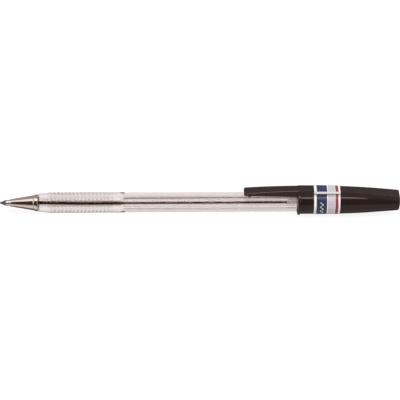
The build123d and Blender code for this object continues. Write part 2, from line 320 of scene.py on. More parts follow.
def thread_groove(station, angles):
    """Depth of the thread's groove, 0 on its crest: a zigzag over each pitch, with crest and root flattened
    and flanks bent to a sine, which fades out at both ends of the stub."""
    turn = station / THREAD_PITCH - angles / (2 * np.pi)
    zigzag = 2 * np.abs(turn % 1 - 0.5)
    flank = np.clip(1.25 * zigzag - 0.125, 0, 1)
    fade = np.interp(station, FADE_STATIONS, (0, 1, 1, 0))
    return THREAD_DEPTH * fade * (0.5 + 0.5 * np.sin(np.pi * (flank - 0.5)))


# %% [markdown]
# ## Nose cone
# A plain taper with a low band at its back edge. Its inside narrows to guide the point, and behind that it
# is bored and threaded for the stub. It is turned from one outline like the point, and only the rows of its
# bore, which are close together, take the thread's wave off their radius.

# %% Cone
CONE_FRONT, CONE_FRONT_RADIUS, CONE_TAPER_BACK, CONE_TAPER_RADIUS = 4.2, 1.45, 13.8, 3.08
BAND_FRONT, BAND_FRONT_RADIUS, BAND_BACK, BAND_BACK_RADIUS = 14.02, 3.30, 15.27, 3.40
CONE_BACK, CONE_BACK_RADIUS, CONE_COLUMNS = 15.45, 3.22, 144
GUIDE_BACK, GUIDE_RADIUS = 6.7, 1.19
STUB_BORE_RADIUS = 1.6
CONE_BORE_FRONT, CONE_BORE_RADIUS, CONE_THREAD_BACK = 11.45, 2.30, 15.3
ON_BORE = 0.02

cone_corners = (
    (CONE_FRONT, GUIDE_RADIUS),
    (CONE_FRONT, CONE_FRONT_RADIUS),
    (CONE_TAPER_BACK, CONE_TAPER_RADIUS),
    (BAND_FRONT, BAND_FRONT_RADIUS),
    (BAND_BACK, BAND_BACK_RADIUS),
    (CONE_BACK, CONE_BACK_RADIUS),
    (CONE_BACK, CONE_BORE_RADIUS),
    (CONE_BORE_FRONT, CONE_BORE_RADIUS),
    (CONE_BORE_FRONT, STUB_BORE_RADIUS),
    (GUIDE_BACK, STUB_BORE_RADIUS),
    (GUIDE_BACK, GUIDE_RADIUS),
)
cone_outline = rounded(cone_corners, cut=0.07)
in_thread = np.abs(middles(cone_outline)[:, 1] - CONE_BORE_RADIUS) < ON_BORE
cone_outline = divided(cone_outline, np.where(in_thread, THREAD_STEP, 0.8))
cone_station, cone_radius = cone_outline[:, :1], cone_outline[:, 1:]
threaded = (np.abs(cone_radius - CONE_BORE_RADIUS) < ON_BORE) & (cone_station < CONE_THREAD_BACK)
cone_angles = even_angles(CONE_COLUMNS)
cone_radii = cone_radius - threaded * thread_groove(cone_station, cone_angles)
nose_cone = polar_skin("cone_skin", cone_station, cone_radii, cone_angles)

# %% [markdown]
# ## Outline of the barrel
# One skin covers the stub, the ringed grip, the collar, the hexagon and the bore, so its outline runs once
# round the half section. The rings repeat, so their corners come from one row of crests: two corners on the
# land of each ring and one in the valley behind it.

# %% Outline of the barrel
RINGS, RING_PITCH, RING_LAND = 17, 1.52, 0.5
RINGS_FRONT = 19.4
RINGS_BACK = RINGS_FRONT + RINGS * RING_PITCH
GRIP_RADIUS, VALLEY_RADIUS, FRONT_RADIUS, BORE_RADIUS = 4.1, 3.98, 3.6, 1.9
RAMP_FRONT, HEX_FRONT, BARREL_BACK = 48.44, 49.94, 139.0
HEX_FLAT, HEX_CORNER = 3.5, 4.0
STUB_CHAMFER, FRONT_CHAMFER, TAIL_CHAMFER = 0.3, 0.15, 0.3
LAST_VALLEY_WALL, BORE_SHOULDER = 0.05, 0.6
EDGE_CUT, BACK_EDGE_CUT = 0.06, 0.08
STUB_BACK = BARREL_FRONT - 0.02

crest = RINGS_FRONT + (np.arange(RINGS) + 0.5) * RING_PITCH
ring_stations = np.stack([crest - RING_LAND / 2, crest + RING_LAND / 2, crest + RING_PITCH / 2], axis=-1)
ring_radii = np.tile([GRIP_RADIUS, GRIP_RADIUS, VALLEY_RADIUS], RINGS)
ring_corners = np.stack([ring_stations.ravel(), ring_radii], axis=-1)
front_corners = (
    (STUB_FRONT, STUB_BORE_RADIUS),
    (STUB_FRONT, THREAD_CREST - STUB_CHAMFER),
    (STUB_FRONT + STUB_CHAMFER, THREAD_CREST),
    (BARREL_FRONT, THREAD_CREST),
    (BARREL_FRONT, FRONT_RADIUS - FRONT_CHAMFER),
    (BARREL_FRONT + FRONT_CHAMFER, FRONT_RADIUS),
    (RINGS_FRONT, VALLEY_RADIUS),
)
back_corners = (
    (RINGS_BACK + LAST_VALLEY_WALL, GRIP_RADIUS),
    (RAMP_FRONT, GRIP_RADIUS),
    (HEX_FRONT, HEX_CORNER),
    (BARREL_BACK - TAIL_CHAMFER, HEX_CORNER),
    (BARREL_BACK, HEX_CORNER - TAIL_CHAMFER),
    (BARREL_BACK, BORE_RADIUS),
    (BARREL_FRONT + BORE_SHOULDER, BORE_RADIUS),
    (BARREL_FRONT, STUB_BORE_RADIUS),
)
barrel_corners = np.concatenate([front_corners, ring_corners, back_corners])
edge_cuts = np.full(len(barrel_corners), EDGE_CUT)
edge_cuts[-len(back_corners):] = BACK_EDGE_CUT
barrel_outline = rounded(barrel_corners, edge_cuts, steps=5)
middle = middles(barrel_outline)
on_stub = (middle[:, 0] < STUB_BACK) & (middle[:, 1] > THREAD_CREST - 0.1)
barrel_outline = divided(barrel_outline, np.where(on_stub, THREAD_STEP, 2.5))
print(f"barrel outline: {len(barrel_outline)} rows, rings from {RINGS_FRONT} to {RINGS_BACK:.2f} mm")

# %% [markdown]
# ## Skin of the barrel
# Behind the collar six flats are ramped in. Cutting them with Boolean planes would leave knife edges.
# Instead a flat at distance d from the axis lies at d / cos(angle from its middle), and the smaller of that
# and the turned radius wins, with a soft crease for the moulded corner. The columns crowd towards the
# corners, where the surface bends most.

# %% Skin of the barrel
HEX_TURN = 24
BARREL_COLUMNS, CROWDING = 192, 0.8
ROUND_CREASE, HEX_CREASE = 0.002, 0.2
OUTSIDE_RADIUS = 2.6

corner_angle = math.radians(90 + HEX_TURN)
even = even_angles(BARREL_COLUMNS)
barrel_angles = corner_angle + even - CROWDING * np.sin(6 * even) / 6
from_flat = (barrel_angles - corner_angle) % math.radians(60) - math.radians(30)
row_station, row_radius = barrel_outline[:, :1], barrel_outline[:, 1:]
ramp = np.clip((row_station - RAMP_FRONT) / (HEX_FRONT - RAMP_FRONT), 0, 1)
flat_depth = GRIP_RADIUS - (GRIP_RADIUS - HEX_FLAT) * ramp
hexagon = smooth_min(row_radius, flat_depth / np.cos(from_flat), ROUND_CREASE + HEX_CREASE * ramp)
has_flats = (row_station > RAMP_FRONT) & (row_radius > OUTSIDE_RADIUS)
has_thread = (row_station < STUB_BACK) & (row_radius > THREAD_CREST - 0.02)
barrel_radii = np.where(has_flats, hexagon, row_radius)
barrel_radii = barrel_radii - has_thread * thread_groove(row_station, barrel_angles)
barrel = polar_skin("barrel_skin", row_station, barrel_radii, barrel_angles)

# %% [markdown]
# ## Tail plug
# A hollow stem pressed into the bore, with a low domed head outside and a hair-fine vent, so that air can
# follow the ink down the tube. Its edges are not all alike, so each corner of its outline carries its own
# cut: wide on the head, narrow inside.

# %% Plug
PLUG_FRONT, PLUG_BACK, PLUG_RADIUS, HEAD_RADIUS = 115.3, 140.2, 1.88, 3.0
PLUG_HOLLOW_FRONT, PLUG_HOLLOW_RADIUS, VENT_RADIUS = 118.3, 1.0, 0.35
PLUG_CHAMFER = 0.4

plug_corners = np.array(
    (
        (PLUG_FRONT, VENT_RADIUS, 0.06),
        (PLUG_FRONT, PLUG_RADIUS - PLUG_CHAMFER, 0.06),
        (PLUG_FRONT + PLUG_CHAMFER, PLUG_RADIUS, 0.15),
        (BARREL_BACK, PLUG_RADIUS, 0.06),
        (BARREL_BACK, HEAD_RADIUS, 0.06),
        (PLUG_BACK - PLUG_CHAMFER, HEAD_RADIUS, 0.25),
        (PLUG_BACK, HEAD_RADIUS - PLUG_CHAMFER, 0.25),
        (PLUG_BACK, PLUG_HOLLOW_RADIUS, 0.1),
        (PLUG_HOLLOW_FRONT, PLUG_HOLLOW_RADIUS, 0.06),
        (PLUG_HOLLOW_FRONT, VENT_RADIUS, 0.06),
    )
)
plug_outline = divided(rounded(plug_corners[:, :2], cut=plug_corners[:, 2]), longest=1.5)
tail_plug = lathe("plug_skin", plug_outline)

# %% [markdown]
# ## Ridge of the cap
# The cap is a round cup with a ridge along its top, which runs out into the clip. Seen along the axis the
# ridge is a trapezoid, so its radius in a given direction is the nearer of two straight lines: its back and
# its drafted side. The larger of the ridge and the round body is the outside, with a small fillet where
# they meet. Joining two solids would leave that fillet still to be made.

# %% Ridge
CAP_MOUTH, CAP_BACK, CLIP_TIP, RIDGE_BACK = 119.0, 160.0, 97.5, 159.5
SPINE_TOP, SPINE_ARC, SPINE_APEX = 6.87, 245.0, CAP_MOUTH + 2.0
CLIP_WIDTH, RIDGE_END_WIDTH, RIDGE_STEP = 3.86, 3.46, 0.06
SIDE_SLOPE = math.tan(math.radians(12.5))
RIDGE_REACH = math.radians(70)
RIDGE_EDGE, FOOT_FILLET, FOOT_DEPTH = 0.28, 0.05, 0.3
END_SOFT_LENGTH, END_SOFT_DROP = 0.15, 0.12


def spine(station):
    """Height of the ridge's back above the axis, on a long arc."""
    return SPINE_TOP - SPINE_ARC + np.sqrt(SPINE_ARC**2 - (station - SPINE_APEX) ** 2)


def half_width(station):
    """Half the ridge's width at the height of its highest point, narrowing towards the cap's end."""
    share = (station - CLIP_TIP) / (RIDGE_BACK - CLIP_TIP)
    return (CLIP_WIDTH + (RIDGE_END_WIDTH - CLIP_WIDTH) * share) / 2


def ridge_radius(station, angles):
    """Radius of the ridge in each direction, which leans by some angle from the clip's. Its back, the line
    z = top, is at top / cos(lean). Its side, the line y = foot - slope z, is at foot / (sin + slope cos)."""
    lean = np.abs((angles - np.pi / 2 + np.pi) % (2 * np.pi) - np.pi)
    near_end = np.clip((station - RIDGE_BACK + END_SOFT_LENGTH) / END_SOFT_LENGTH, 0, 1)
    top = spine(station) + RIDGE_STEP - END_SOFT_DROP * near_end**2
    foot = half_width(station) + RIDGE_STEP + SIDE_SLOPE * SPINE_TOP
    back = top / np.cos(np.minimum(lean, RIDGE_REACH))
    side = foot / (np.sin(lean) + SIDE_SLOPE * np.cos(lean))
    return np.where(lean < RIDGE_REACH, smooth_min(back, side, RIDGE_EDGE), 0.0)


def cap_outside(station, radius, angles):
    """The round body or the ridge, whichever is further out, with a fillet along the ridge's foot."""
    ridge = np.where(station <= RIDGE_BACK, ridge_radius(np.minimum(station, RIDGE_BACK), angles), 0.0)
    return np.where(ridge > radius - FOOT_DEPTH, smooth_max(radius, ridge, FOOT_FILLET), radius)


# %% [markdown]
# ## Body of the cap
# The body is turned: a flange at the mouth, a straight part for the label, and two tapers to a low dome.
# Its outline runs along the inside to the mouth and back along the outside, and each outside corner carries
# its own cut, long where the tapers blend into each other. Even columns would step across the ridge's edges,
# so the directions crowd there.

# %% Cap
CAP_BORE_RADIUS, CAP_RADIUS, FLANGE_RADIUS = 4.16, 4.96, 5.36
FLANGE_BACK, FLANGE_EDGE, MOUTH_CHAMFER = CAP_MOUTH + 0.95, 0.15, 0.3
MOUTH_FACE_INNER, MOUTH_FACE_OUTER = 4.85, 4.95
CAP_STOP, CAP_STOP_RADIUS = 139.1, 3.5
CAP_HOLLOW_STEP, CAP_HOLLOW_BACK, CAP_HOLLOW_RADIUS = 151.8, 158.4, 2.7
TAPER_FRONT, TAPER_MIDDLE, TAPER_MIDDLE_RADIUS = 136.0, 145.0, 4.661
CAP_EDGE_FRONT, CAP_EDGE_RADIUS, RIDGE_BACK_RADIUS, DOME_RADIUS = 159.15, 3.647, 3.272, 1.6


def crowded_angles():
    """Directions round the cap, closest together at the ridge's two edges and its two feet."""
    half = np.concatenate(
        [
            np.linspace(0, 12, 7),
            np.linspace(12.5, 20, 16),
            np.linspace(20.7, 26, 8),
            np.linspace(26.4, 34, 18),
            np.linspace(36, 178, 68),
        ]
    )
    both = np.concatenate([half, [180], 360 - half[:0:-1]])
    return np.radians(90 + both)


inside_corners = (
    (CAP_HOLLOW_BACK, 0.0),
    (CAP_HOLLOW_BACK, CAP_HOLLOW_RADIUS),
    (CAP_HOLLOW_STEP, CAP_HOLLOW_RADIUS),
    (CAP_HOLLOW_STEP, CAP_STOP_RADIUS),
    (CAP_STOP, CAP_STOP_RADIUS),
    (CAP_STOP, CAP_BORE_RADIUS),
    (CAP_MOUTH + MOUTH_CHAMFER, CAP_BORE_RADIUS),
    (CAP_MOUTH, CAP_BORE_RADIUS + MOUTH_CHAMFER),
    (CAP_MOUTH, MOUTH_FACE_INNER),
)
outside_corners = np.array(
    (
        (CAP_MOUTH, MOUTH_FACE_OUTER, 0.05),
        (CAP_MOUTH, FLANGE_RADIUS - FLANGE_EDGE, 0.08),
        (CAP_MOUTH + FLANGE_EDGE, FLANGE_RADIUS, 0.08),
        (FLANGE_BACK - FLANGE_EDGE, FLANGE_RADIUS, 0.08),
        (FLANGE_BACK, FLANGE_RADIUS - FLANGE_EDGE, 0.08),
        (FLANGE_BACK, CAP_RADIUS, 0.08),
        (TAPER_FRONT, CAP_RADIUS, 4.0),
        (TAPER_MIDDLE, TAPER_MIDDLE_RADIUS, 4.0),
        (CAP_EDGE_FRONT, CAP_EDGE_RADIUS, 0.2),
        (RIDGE_BACK, RIDGE_BACK_RADIUS, 0.1),
        (CAP_BACK, DOME_RADIUS, 1.2),
        (CAP_BACK, 0.0, 0.05),
    )
)
inside = divided(rounded(inside_corners, cut=0.1, closed=False), longest=1.5, closed=False)
outside = rounded(outside_corners[:, :2], cut=outside_corners[:, 2], steps=7, closed=False)
outside = divided(outside, longest=0.8, closed=False)
cap_outline = np.concatenate([inside, outside])
is_outside = (np.arange(len(cap_outline)) >= len(inside))[:, None]
cap_angles = crowded_angles()
cap_station = cap_outline[:, :1]
round_radii = np.repeat(cap_outline[:, 1:], len(cap_angles), axis=1)
ridged_radii = cap_outside(cap_station, round_radii, cap_angles)
cap_radii = np.where(is_outside & (round_radii > 0), ridged_radii, round_radii)
cap = polar_skin("cap_skin", cap_station, cap_radii, cap_angles)

# %% [markdown]
# ## Clip
# The clip is the ridge's own section carried on past the mouth: the same drafted sides and arched back, and
# an underside that thins it towards the tip. The tip's corners are round in plan, and a low bar under it
# grips the cloth. Sections at chosen stations follow all of these curves, which a stretched cube could not.

# %% Clip
CLIP_BACK = CAP_MOUTH + 1.2
UNDERSIDE_ROOT, UNDERSIDE_SUNK = CAP_BORE_RADIUS + 0.04, CAP_BORE_RADIUS + 0.25
TIP_THICKNESS, TIP_CORNER, TIP_EDGE = 0.91, 0.8, 0.25
BEVEL_IN, BEVEL_DOWN = 0.30, 0.16
CLIP_CUTS = np.array([0.08, 0.08, 0.15, 0.15, 0.08, 0.08])
PIP_STATION, PIP_RADIUS, PIP_HEIGHT = CLIP_TIP + 2.2, 0.9, 0.4
PIP_ROWS_FRONT, PIP_ROWS_BACK = 98.4, 102.0


def clip_underside(station):
    """A straight line from the mouth's bore to the tip, lowered by a round bar near the tip."""
    tip_height = spine(CLIP_TIP) - TIP_THICKNESS
    share = (CAP_MOUTH - station) / (CAP_MOUTH - CLIP_TIP)
    line = UNDERSIDE_ROOT + (tip_height - UNDERSIDE_ROOT) * share
    circle = np.sqrt(np.clip(PIP_RADIUS**2 - (station - PIP_STATION) ** 2, 0, None))
    bar = circle - (PIP_RADIUS - PIP_HEIGHT)
    return np.where(station > CAP_MOUTH, UNDERSIDE_SUNK, line - np.maximum(bar, 0))


def drawn_in(station, radius):
    """How far a round corner of this radius, at the tip, draws the surface in: none beyond the radius."""
    return radius - np.sqrt(radius**2 - np.clip(radius - (station - CLIP_TIP), 0, None) ** 2)


clip_station = np.concatenate(
    [
        CLIP_TIP + TIP_CORNER * (1 - np.cos(np.linspace(0.02, np.pi / 2, 12))),
        np.arange(PIP_ROWS_FRONT, PIP_ROWS_BACK, 0.1),
        np.arange(PIP_ROWS_BACK, CAP_MOUTH, 1.0),
        [CAP_MOUTH - 0.01, CLIP_BACK],
    ]
)
inset, drop = drawn_in(clip_station, TIP_CORNER), drawn_in(clip_station, TIP_EDGE)
top, foot = spine(clip_station) - drop, clip_underside(clip_station)
top_half = half_width(clip_station) + SIDE_SLOPE * (SPINE_TOP - top) - inset
foot_half = half_width(clip_station) + SIDE_SLOPE * (SPINE_TOP - foot) - inset
side_half = top_half + SIDE_SLOPE * BEVEL_DOWN
right = [(top_half - BEVEL_IN, top), (side_half, top - BEVEL_DOWN), (foot_half, foot)]
left = [(-across, up) for across, up in right[::-1]]
clip_corners = np.stack([np.stack(corner, axis=-1) for corner in right + left], axis=1)
section = rounded(clip_corners, CLIP_CUTS, steps=6)
rows, columns = section.shape[:2]
sides = placed(clip_station[:, None], section[..., 0], section[..., 1])
ends = placed(clip_station[[0, -1]], 0.0, (top + foot)[[0, -1]] / 2)
clip_points = np.concatenate([sides.reshape(-1, 3), ends])
clip = make_piece("clip", clip_points, grid_quads(rows, columns, False, True), end_fans(rows, columns))

# %% [markdown]
# ## One moulding
# Cap and clip come out of one mould. The clip is sunk a little into the ridge, and an exact Boolean joins
# the two. Its result is taken as a new mesh, so that no modifier is left on the cap.

# %% Clip joined to the cap
CAP_SHARP_ANGLE = math.radians(35)

join = cap.modifiers.new("join_clip", "BOOLEAN")
join.operation, join.solver, join.object = "UNION", "EXACT", clip
whole = bpy.data.meshes.new_from_object(cap.evaluated_get(bpy.context.evaluated_depsgraph_get()))
cap.modifiers.clear()
cap.data = whole
bpy.data.objects.remove(clip)
whole.polygons.foreach_set("use_smooth", np.ones(len(whole.polygons), bool))
whole.set_sharp_from_angle(angle=CAP_SHARP_ANGLE)
print(f"cap with clip: {len(whole.polygons)} faces")

# %% [markdown]
# ## Film label
# The film follows the outside of the cap, ridge and all, and its two edges stop short of each other on the
# ridge's near side, where the black shows through as a seam. Shrinkwrap and Solidify could lay a sheet
# there, but the cap's section is known: each of its points is moved out along the section's normal, once
# for the film's back and once for its face.

# %% Label
LABEL_FRONT, LABEL_BACK, LABEL_ROWS = 125.3, 135.7, 27
FILM_BACK, FILM_FACE = 0.012, 0.09
SEAM_ANGLE, SEAM_HALF = math.radians(111.4), math.radians(0.95)
SEAM_CLEAR = 1.15 * SEAM_HALF

label_station = np.linspace(LABEL_FRONT, LABEL_BACK, LABEL_ROWS)[:, None]
turn = (cap_angles - SEAM_ANGLE) % (2 * np.pi)
turn = np.sort(turn[(turn > SEAM_CLEAR) & (turn < 2 * np.pi - SEAM_CLEAR)])
label_angles = SEAM_ANGLE + np.concatenate([[SEAM_HALF], turn, [2 * np.pi - SEAM_HALF]])
reach = cap_outside(label_station, np.full((1, len(label_angles)), CAP_RADIUS), label_angles)
curve = np.stack([reach * np.cos(label_angles), reach * np.sin(label_angles)], axis=-1)
along = np.gradient(curve, label_angles, axis=1)
along /= np.linalg.norm(along, axis=-1, keepdims=True)
normal = np.stack([along[..., 1], -along[..., 0]], axis=-1)
loop = np.concatenate([curve + FILM_FACE * normal, (curve + FILM_BACK * normal)[::-1]])
loop_station = np.concatenate([label_station, label_station[::-1]])
label_points = placed(loop_station, loop[..., 0], loop[..., 1])
rows, columns = label_points.shape[:2]
ladder = np.arange(LABEL_ROWS - 1)
opposite = rows - 1 - ladder
rungs = np.stack([ladder, ladder + 1, opposite - 1, opposite], axis=-1) * columns
label_quads = np.concatenate([grid_quads(rows, columns, True, False), rungs, rungs[:, ::-1] + columns - 1])
cap_label = make_piece("label_skin", label_points, label_quads)

steps_round = np.linalg.norm(np.diff(curve[LABEL_ROWS // 2], axis=0), axis=1)
arc = np.concatenate([[0], np.cumsum(steps_round)])
film_length = float(arc[-1])
around = cap_label.data.attributes.new("around", "FLOAT", "POINT")
around.data.foreach_set("value", np.tile(arc, rows).astype(np.float32))
print(f"film {film_length:.1f} mm round")

# %% [markdown]
# ## Shader arithmetic
# A finish is mostly sums: a little noise added to a roughness, a stripe where a station lies between two
# values. Wiring each sum by hand takes many lines and hides the formula. The class below wraps a socket so
# that Python operators add Math nodes, and its one method makes any other node, with its settings first and
# then its sockets.

# %% The socket class
class Wire:
    """A socket in a node tree. Arithmetic on wires makes Math nodes, and node() makes every other kind."""

    def __init__(self, tree, socket=None):
        self.tree, self.socket = tree, socket

    def node(self, kind, settings=None, sockets=None, out=0):
        made = self.tree.nodes.new("ShaderNode" + kind)
        for key, value in (settings or {}).items():
            setattr(made, key, value)
        for key, value in (sockets or {}).items():
            if isinstance(value, Wire):
                self.tree.links.new(value.socket, made.inputs[key])
            else:
                made.inputs[key].default_value = value
        return Wire(self.tree, made.outputs[out] if len(made.outputs) else None)

    def math(self, operation, *others):
        return self.node("Math", {"operation": operation}, dict(enumerate((self, *others))))

    def __add__(self, other):
        return self.math("ADD", other)

    def __sub__(self, other):
        return self.math("SUBTRACT", other)

    def __rsub__(self, other):
        return self.node("Math", {"operation": "SUBTRACT"}, {0: other, 1: self})

    def __mul__(self, other):
        return self.math("MULTIPLY", other)

    __radd__, __rmul__ = __add__, __mul__

    def clamped(self):
        return self.node("Clamp", None, {"Value": self})

    def step(self, low, high):
        """0 below low, 1 above high, and a soft rise between."""
        limits = {"Value": self, "From Min": low, "From Max": high}
        return self.node("MapRange", {"interpolation_type": "SMOOTHSTEP"}, limits)

    def between(self, low, high, soft):
        """1 between two values and 0 outside them, with edges that are soft over a short width."""
        return self.step(low - soft, low + soft) * (1 - self.step(high - soft, high + soft))

    def tint(self, first, second):
        """Colour that goes from the first to the second as this wire goes from 0 to 1."""
        settings = {"data_type": "RGBA", "clamp_factor": True}
        return self.node("Mix", settings, {"Factor": self, 6: first, 7: second}, out=2)


# %% [markdown]
# ## Words that every finish uses
# All the patterns read object coordinates, which stay with a piece when it moves and need no unwrapping.
# Two helpers turn them back into the pen's own measures, a station and a distance from the axis, so that a
# finish can name the same sizes as the shapes do.

# %% Helpers for finishes
SHADOW_TINT = (0.86, 0.84, 0.83, 1)


def new_finish(name):
    """An empty material, and a wire in its tree to start from."""
    material = bpy.data.materials.new(name)
    material.use_nodes = True
    material.node_tree.nodes.clear()
    return material, Wire(material.node_tree)


def linear(red, green, blue):
    """A colour given as it looks on a screen, 0 to 255, as the linear values that shaders use."""
    screen = np.array([red, green, blue]) / 255
    value = np.where(screen <= 0.04045, screen / 12.92, ((screen + 0.055) / 1.055) ** 2.4)
    return (*value.tolist(), 1.0)


def in_millimetres(paint, axis):
    """One object coordinate of the point being shaded, in millimetres."""
    place = paint.node("TexCoord", out="Object")
    return paint.node("SeparateXYZ", None, {"Vector": place}, out=axis) * 1000


def station_of(paint):
    """The station along the pen of the point being shaded."""
    return in_millimetres(paint, "X") + PEN_LENGTH / 2


def radius_of(paint):
    """The distance from the pen's axis of the point being shaded."""
    across, up = in_millimetres(paint, "Y"), in_millimetres(paint, "Z") - AXIS_HEIGHT
    return (across * across + up * up).math("SQRT")


def grain(paint, stretch, detail=3.0):
    """Noise on object coordinates, with its own scale along each axis, in cells per metre."""
    place = paint.node("TexCoord", out="Object")
    scaled = paint.node("Mapping", None, {"Vector": place, "Scale": stretch})
    look = {"Vector": scaled, "Scale": 1.0, "Detail": detail, "Roughness": 0.55}
    return paint.node("TexNoise", None, look)


def bumped(paint, height, strength, distance):
    """A normal that follows a height, given in metres at full strength."""
    relief = {"Height": height, "Strength": strength, "Distance": distance}
    return paint.node("Bump", None, relief, out="Normal")


def surfaced(paint, shader):
    """Joins a shader to the material's output."""
    paint.node("OutputMaterial", None, {"Surface": shader})


def finished(material, paint, look, clear=False):
    """Gives a material its one Principled shader. A clear piece lets shadow rays pass, as light does on its
    way to whatever lies behind."""
    shader = paint.node("BsdfPrincipled", None, look)
    if clear:
        path = paint.node("LightPath", out="Is Shadow Ray")
        open_way = paint.node("BsdfTransparent", None, {"Color": SHADOW_TINT})
        shader = paint.node("MixShader", None, {0: path, 1: shader, 2: open_way})
    surfaced(paint, shader)
    return material


# %% [markdown]
# ## Clear barrel plastic
# The barrel is polystyrene, moulded clear and bright. It is not quite colourless: it takes a faint warm
# tint from its two walls, drawn out along the pen as the melt flowed. A plain glass shader would be too
# clean. The mould is polished outside, but the long pin that forms the bore is not, the valleys between the
# rings are dull, and the front face against the cone is frosted. The whole grip is tinted a little darker,
# and the valleys darker still as painted shade between the rings. Station and radius find each of them.

# %% Finish of the barrel
CLEAR_LOW, CLEAR_HIGH = (0.83, 0.765, 0.745, 1), (0.86, 0.795, 0.775, 1)
# Colour of the painted shade in the ring valleys, also used for the slightly darker grip.
GRIP_AND_VALLEY_SHADE_TINT = (0.58, 0.51, 0.49, 1)


def clear_plastic():
    material, paint = new_finish("clear_plastic")
    flow = grain(paint, (60, 300, 300))
    scuffs = grain(paint, (1500, 1500, 1500), detail=5.0)
    radius, station = radius_of(paint), station_of(paint)
    in_bore = 1 - radius.step(BORE_RADIUS + 0.2, BORE_RADIUS + 0.5)
    front_face = 1 - station.step(BARREL_FRONT + 0.02, BARREL_FRONT + 0.12)
    grip = station.between(RINGS_FRONT + 0.2, RINGS_BACK - 0.24, 0.2)
    valley = radius.between(VALLEY_RADIUS - 0.08, VALLEY_RADIUS + 0.06, 0.02) * grip
    # Painted shade: the valleys between the rings are darkened, and the whole grip a little.
    grip_tint_and_valley_shade = 0.15 * grip + 0.85 * valley
    look = {
        "Base Color": grip_tint_and_valley_shade.tint(flow.tint(CLEAR_LOW, CLEAR_HIGH), GRIP_AND_VALLEY_SHADE_TINT),
        "Roughness": 0.01 + 0.03 * scuffs + 0.08 * in_bore + 0.12 * valley + 0.5 * front_face,
        "IOR": 1.57,
        "Transmission Weight": 1.0,
    }
    return finished(material, paint, look, clear=True)


# %% [markdown]
# ## Refill tube and plug
# The tube is extruded in a softer plastic than the barrel, a little cloudy, and the plug that closes the
# tail is milkier still. Both let light through, so they share the barrel's recipe with more haze. A volume
# shader would cloud them more truly, but it is slow and the haze is slight.

# %% Finishes of the tube and plug
def tube_plastic():
    material, paint = new_finish("tube_plastic")
    draw_lines = grain(paint, (25, 600, 600))
    look = {
        "Base Color": draw_lines.tint((0.80, 0.75, 0.74, 1), (0.86, 0.81, 0.80, 1)),
        "Roughness": 0.02 + 0.03 * draw_lines,
        "IOR": 1.49,
        "Transmission Weight": 1.0,
    }
    return finished(material, paint, look, clear=True)


def milky_plastic():
    material, paint = new_finish("milky_plastic")
    cloud = grain(paint, (500, 700, 700))
    look = {
        "Base Color": cloud.tint((0.90, 0.845, 0.835, 1), (0.93, 0.88, 0.87, 1)),
        "Roughness": 0.2 + 0.1 * cloud,
        "IOR": 1.5,
        "Transmission Weight": 0.8,
        "Normal": bumped(paint, cloud, strength=0.05, distance=1e-4),
    }
    return finished(material, paint, look, clear=True)


# %% [markdown]
# ## Ink
# The ink is a thick black paste. Seen through the tube it is only a dark line, so it needs no transparency
# of its own, just a swirl in its black and a weak wet gloss.

# %% Finish of the ink
def ink_paste():
    material, paint = new_finish("ink")
    swirl = grain(paint, (200, 1500, 1500))
    look = {
        "Base Color": swirl.tint((0.006, 0.0045, 0.005, 1), (0.012, 0.009, 0.009, 1)),
        "Roughness": 0.12 + 0.12 * swirl,
        "Specular IOR Level": 0.2,
        "Normal": bumped(paint, swirl, strength=0.1, distance=5e-5),
    }
    return finished(material, paint, look)


# %% [markdown]
# ## Turned metals
# The nose cone is turned and then plated bright, so the lathe's feed leaves rings that the plating softens
# but does not hide. The point keeps its bare turned surface, with deeper rings, and its nose is dark and
# dull from ink. Rings cut into the mesh would need far too many faces. A wave along the station draws the
# feed as a bump, and noise breaks it up so that no two rings are alike.

# %% Finishes of the cone, point and ball
PLATED_COLOURS = (0.62, 0.495, 0.415, 1), (0.71, 0.575, 0.49, 1)
POINT_COLOURS = (0.60, 0.55, 0.52, 1), (0.70, 0.65, 0.62, 1)
BALL_COLOURS = (0.30, 0.29, 0.29, 1), (0.36, 0.35, 0.35, 1)
INK_STAIN = (0.12, 0.10, 0.096, 1)
STAIN_EDGE, STAIN_ROUGHNESS = 0.3, 0.3


def turned_metal(name, colours, feed, gloss, depth, stained=0.0):
    """Metal with fine turning rings: feed is rings per millimetre, depth the height of a ring in metres.
    In front of the station called stained, the metal is darkened and dulled by ink."""
    material, paint = new_finish(name)
    wander = grain(paint, (900, 250, 250))
    rings = (station_of(paint) * (2 * math.pi * feed) + wander * 6).math("SINE") * 0.5 + 0.5
    cloud = grain(paint, (350, 350, 350), detail=4.0)
    stain = 1 - station_of(paint).step(stained - STAIN_EDGE, stained)
    look = {
        "Base Color": stain.tint(cloud.tint(*colours), INK_STAIN),
        "Metallic": 1.0,
        "Roughness": gloss + gloss * (0.5 * rings + 0.5 * cloud) + STAIN_ROUGHNESS * stain,
        "Normal": bumped(paint, rings, strength=0.4, distance=depth),
    }
    return finished(material, paint, look)


# %% [markdown]
# ## Black cap plastic
# The cap comes from a mould with a fine sparked skin: soft gloss and tiny grain. Its sharp edges are
# slightly lighter, partly wear where it rubs in a pocket and partly a painted highlight. Pointiness finds
# those edges on the mesh itself, so none is picked out by hand.

# %% Finish of the cap
# Lighter colour for sharp edges: part wear, part painted highlight.
WORN_AND_HIGHLIT_EDGE = (0.07, 0.058, 0.054, 1)


def black_plastic():
    material, paint = new_finish("black_plastic")
    skin = grain(paint, (5200, 5200, 5200), detail=2.0)
    flow = grain(paint, (120, 700, 700))
    # Painted highlight and wear: pointed edges take a lighter colour.
    edge = paint.node("NewGeometry", out="Pointiness").step(0.53, 0.62)
    body = flow.tint((0.017, 0.0108, 0.0092, 1), (0.021, 0.0135, 0.0117, 1))
    look = {
        "Base Color": (edge * 0.5).tint(body, WORN_AND_HIGHLIT_EDGE),
        "Roughness": 0.08 + 0.05 * skin + 0.03 * flow,
        "IOR": 1.47,
        "Specular Tint": (1.0, 0.72, 0.71, 1),
        "Normal": bumped(paint, skin, strength=0.06, distance=2e-5),
    }
    return finished(material, paint, look)


